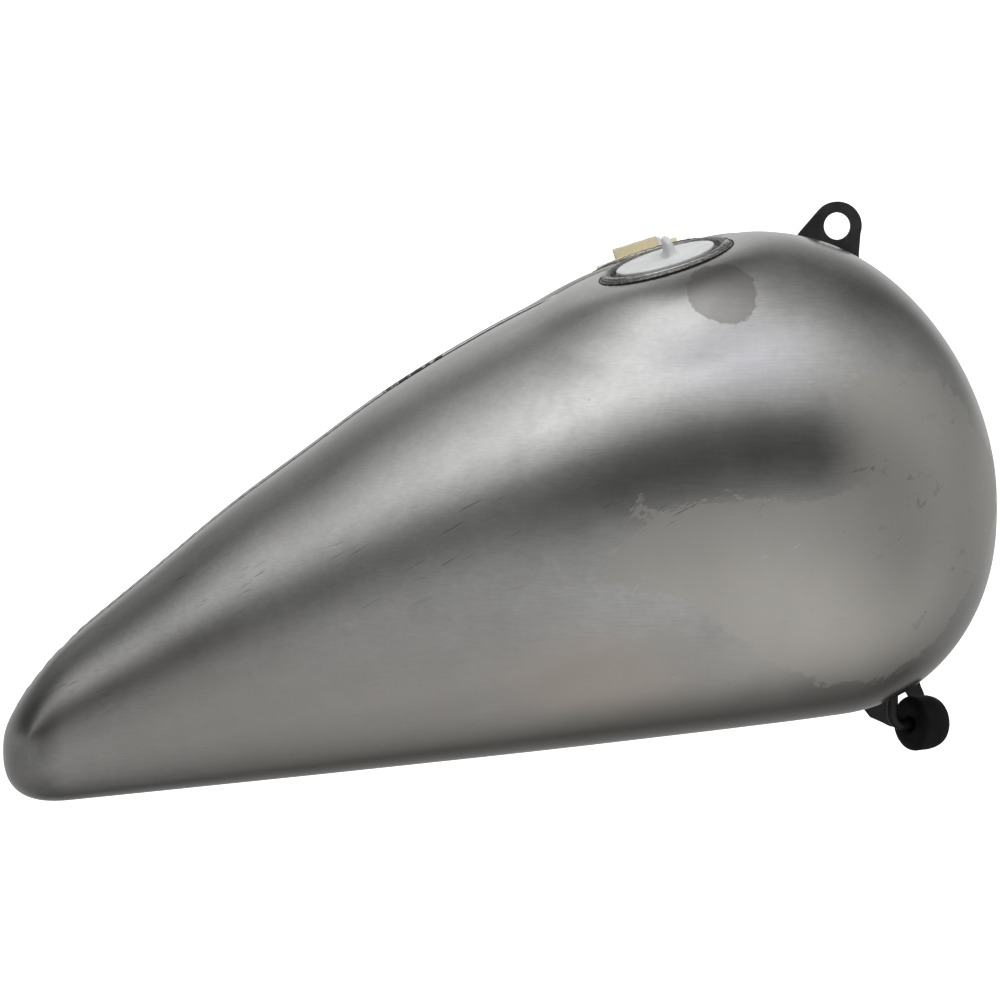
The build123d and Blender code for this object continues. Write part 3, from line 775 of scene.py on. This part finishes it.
def paper_tape():
    n = Nodes("paper_tape")
    crepe = n.noise(600, 4.0, 0.6, n.mapped(scale=(1.0, 0.15, 0.15)))
    colour = n.mix(crepe, (0.60, 0.52, 0.33), (0.74, 0.67, 0.46))
    n.set(n.shader.inputs["Base Color"], colour)
    n.shader.inputs["Roughness"].default_value = 0.6
    n.set(n.shader.inputs["Normal"], n.bump(crepe, 0.6, 0.0003))
    return n.material


MATERIALS = {build.__name__: build() for build in (
    bare_steel, cast_collar, dark_phosphate, nipple_steel, white_plastic, black_rubber, paper_tape)}


def dress(obj, slot):
    obj.data.materials.clear()
    obj.data.materials.append(MATERIALS[slot])


# ---- camera, floor, light ------------------------------------------------------------------
VIEW_AZIMUTH, VIEW_ELEVATION, VIEW_DISTANCE = radians(-1.0), radians(5.0), 1.6
VIEW_CENTRE = Vector((-0.1996, -0.05, -0.1575))
VIEW_WIDTH = 0.5755
SENSOR = 36.0
FLOOR_Z = -1.5
# Soft light all round, as brightness against the height it comes from. Heights are in degrees
# round the X axis: 0 is the right side's horizon, 90 straight up, 180 the left side's horizon.
# Each row is for light from one place along X: -1 is straight behind, 1 straight in front.
HEIGHTS = (-180, -150, -120, -95, -70, -45, -20, -6, 3, 12, 24, 34, 50, 64, 80, 98, 120, 145, 165, 180)
GLOW = {
    -0.90: (.30, .22, .24, .25, .27, .27, .23, .08, .07, .08, .15, .22, .39, .44, .38, .22, .10, .06, .07, .30),
    -0.50: (.40, .34, .20, .15, .22, .38, .48, .50, .34, .17, .26, .80, 1.46, 1.33, .97, .65, .28, .30, .18, .40),
    -0.25: (.50, .30, .09, .16, .37, .54, .48, .50, .14, .06, .15, .68, 1.57, 1.28, .31, .18, .39, .63, .50, .50),
    0.00: (.60, .24, .11, .34, .53, .48, .67, .68, .19, .07, .15, .71, 1.24, 1.15, .58, .135, .14, .52, .72, .60),
    0.25: (.60, .24, .10, .21, .54, .75, .68, .56, .13, .05, .15, .55, .86, .81, .46, .29, .195, .41, .72, .60),
    0.60: (.50, .28, .07, .19, .48, .57, .50, .40, .21, .12, .26, .45, .64, .58, .43, .21, .115, .135, .25, .50),
    0.90: (.36, .33, .37, .41, .51, .40, .27, .24, .25, .27, .33, .40, .46, .48, .46, .43, .42, .35, .35, .36),
}
HIGHLIGHT, LOWLIGHT = (0.985, 0.985, 0.995), (0.995, 0.99, 0.975)
# The ramps hold this share of each brightness, so that none passes 1.
GLOW_SHARE = 0.5


def place_camera():
    away = Vector((sin(VIEW_AZIMUTH) * cos(VIEW_ELEVATION), -cos(VIEW_AZIMUTH) * cos(VIEW_ELEVATION),
                   sin(VIEW_ELEVATION)))
    camera = bpy.data.objects.new("camera", bpy.data.cameras.new("camera"))
    bpy.context.scene.collection.objects.link(camera)
    camera.location = VIEW_CENTRE + away * VIEW_DISTANCE
    camera.rotation_euler = (-away).to_track_quat("-Z", "Y").to_euler()
    camera.data.sensor_width = SENSOR
    camera.data.lens = SENSOR * VIEW_DISTANCE / VIEW_WIDTH
    camera.data.clip_start = 0.05
    camera.data.clip_end = 50
    bpy.context.scene.camera = camera


def studio():
    """A round, pale room: a floor that curves up into a backdrop on every side."""
    n = Nodes("studio_white")
    n.shader.inputs["Base Color"].default_value = (0.85, 0.85, 0.85, 1)
    n.shader.inputs["Roughness"].default_value = 0.9
    n.shader.inputs["Emission Color"].default_value = (1, 1, 1, 1)
    n.shader.inputs["Emission Strength"].default_value = 1.0
    radius, rise, sides = 6.0, 2.0, 96
    profile = [(0.01, 0.0), (radius - rise, 0.0)]
    for i in range(1, 13):
        turn = pi / 2 * i / 12
        profile.append((radius - rise + rise * sin(turn), rise * (1 - cos(turn))))
    profile += [(radius, 5.0), (radius - 2, 7.0), (0.01, 8.0)]
    count = len(profile)
    verts = [Vector((r * cos(2 * pi * k / sides), r * sin(2 * pi * k / sides), FLOOR_Z + z))
             for k in range(sides) for r, z in profile]
    faces = [(k * count + i, k * count + i + 1, (k + 1) % sides * count + i + 1, (k + 1) % sides * count + i)
             for k in range(sides) for i in range(count - 1)]
    room = mesh_object("studio_room", verts, faces)
    room.data.materials.append(n.material)
    room.visible_glossy = False
    room.visible_diffuse = False
    room.visible_shadow = False


def glow_ramp(tree, place, row):
    """Colour ramp over the heights for one row of GLOW."""
    ramp_node = tree.nodes.new("ShaderNodeValToRGB")
    tree.links.new(place, ramp_node.inputs["Fac"])
    elements = ramp_node.color_ramp.elements
    while len(elements) < len(HEIGHTS):
        elements.new(0.5)
    for element, height, value in zip(elements, HEIGHTS, row):
        element.position = (height + 180) / 360
        cool = min(max((value - 0.3) / 0.8, 0.0), 1.0)
        tint = [a + (b - a) * cool for a, b in zip(LOWLIGHT, HIGHLIGHT)]
        element.color = (*[value * GLOW_SHARE * t for t in tint], 1)
    return ramp_node.outputs["Color"]


def lights():
    """World light that varies by direction, and a softbox for the pieces that aren't bare metal."""
    world_data = bpy.data.worlds.new("studio")
    world_data.use_nodes = True
    tree = world_data.node_tree
    direction = tree.nodes.new("ShaderNodeTexCoord").outputs["Generated"]
    split = tree.nodes.new("ShaderNodeSeparateXYZ")
    tree.links.new(direction, split.inputs[0])
    front = tree.nodes.new("ShaderNodeMath")
    front.operation = "MULTIPLY"
    front.inputs[1].default_value = -1.0
    tree.links.new(split.outputs["Y"], front.inputs[0])
    turn = tree.nodes.new("ShaderNodeMath")
    turn.operation = "ARCTAN2"
    tree.links.new(split.outputs["Z"], turn.inputs[0])
    tree.links.new(front.outputs[0], turn.inputs[1])
    place = tree.nodes.new("ShaderNodeMapRange")
    place.inputs["From Min"].default_value = -pi
    place.inputs["From Max"].default_value = pi
    tree.links.new(turn.outputs[0], place.inputs["Value"])
    along = list(GLOW)
    glow = glow_ramp(tree, place.outputs["Result"], GLOW[along[0]])
    for low, high in zip(along, along[1:]):
        share = tree.nodes.new("ShaderNodeMapRange")
        share.inputs["From Min"].default_value = low
        share.inputs["From Max"].default_value = high
        tree.links.new(split.outputs["X"], share.inputs["Value"])
        mix = tree.nodes.new("ShaderNodeMix")
        mix.data_type = "RGBA"
        tree.links.new(share.outputs["Result"], mix.inputs["Factor"])
        tree.links.new(glow, mix.inputs["A"])
        tree.links.new(glow_ramp(tree, place.outputs["Result"], GLOW[high]), mix.inputs["B"])
        glow = mix.outputs["Result"]
    background = tree.nodes["Background"]
    tree.links.new(glow, background.inputs["Color"])
    background.inputs["Strength"].default_value = 1 / GLOW_SHARE
    bpy.context.scene.world = world_data
    light = bpy.data.lights.new("overhead_softbox", "AREA")
    light.shape = "RECTANGLE"
    light.size, light.size_y = 2.0, 1.2
    light.energy = 16
    softbox = bpy.data.objects.new("overhead_softbox", light)
    softbox.location = (-0.1, -0.5, 1.3)
    aim = Vector((-0.15, -0.05, -0.1)) - softbox.location
    softbox.rotation_euler = aim.to_track_quat("-Z", "Y").to_euler()
    softbox.visible_glossy = False
    softbox.visible_camera = False
    bpy.context.scene.collection.objects.link(softbox)


# ---- put it together -----------------------------------------------------------------------
def dress_nodes():
    for part in frame["record"]["subparts"]:
        node = frame["nodes"][part["node"]]
        dress(node, part["material_slot"])
        if part["material_slot"] == "dark_phosphate":
            bevel = node.modifiers.new("soft_edges", "BEVEL")
            bevel.width = 0.0007
            bevel.segments = 3
            bevel.limit_method = "ANGLE"
            bevel.angle_limit = radians(40)


bpy.context.scene.view_settings.view_transform = "Standard"
place_camera()
studio()
lights()
dress_nodes()
build_skins()
build_collars()
build_plugs()
build_tape()
build_cap()
build_beads()
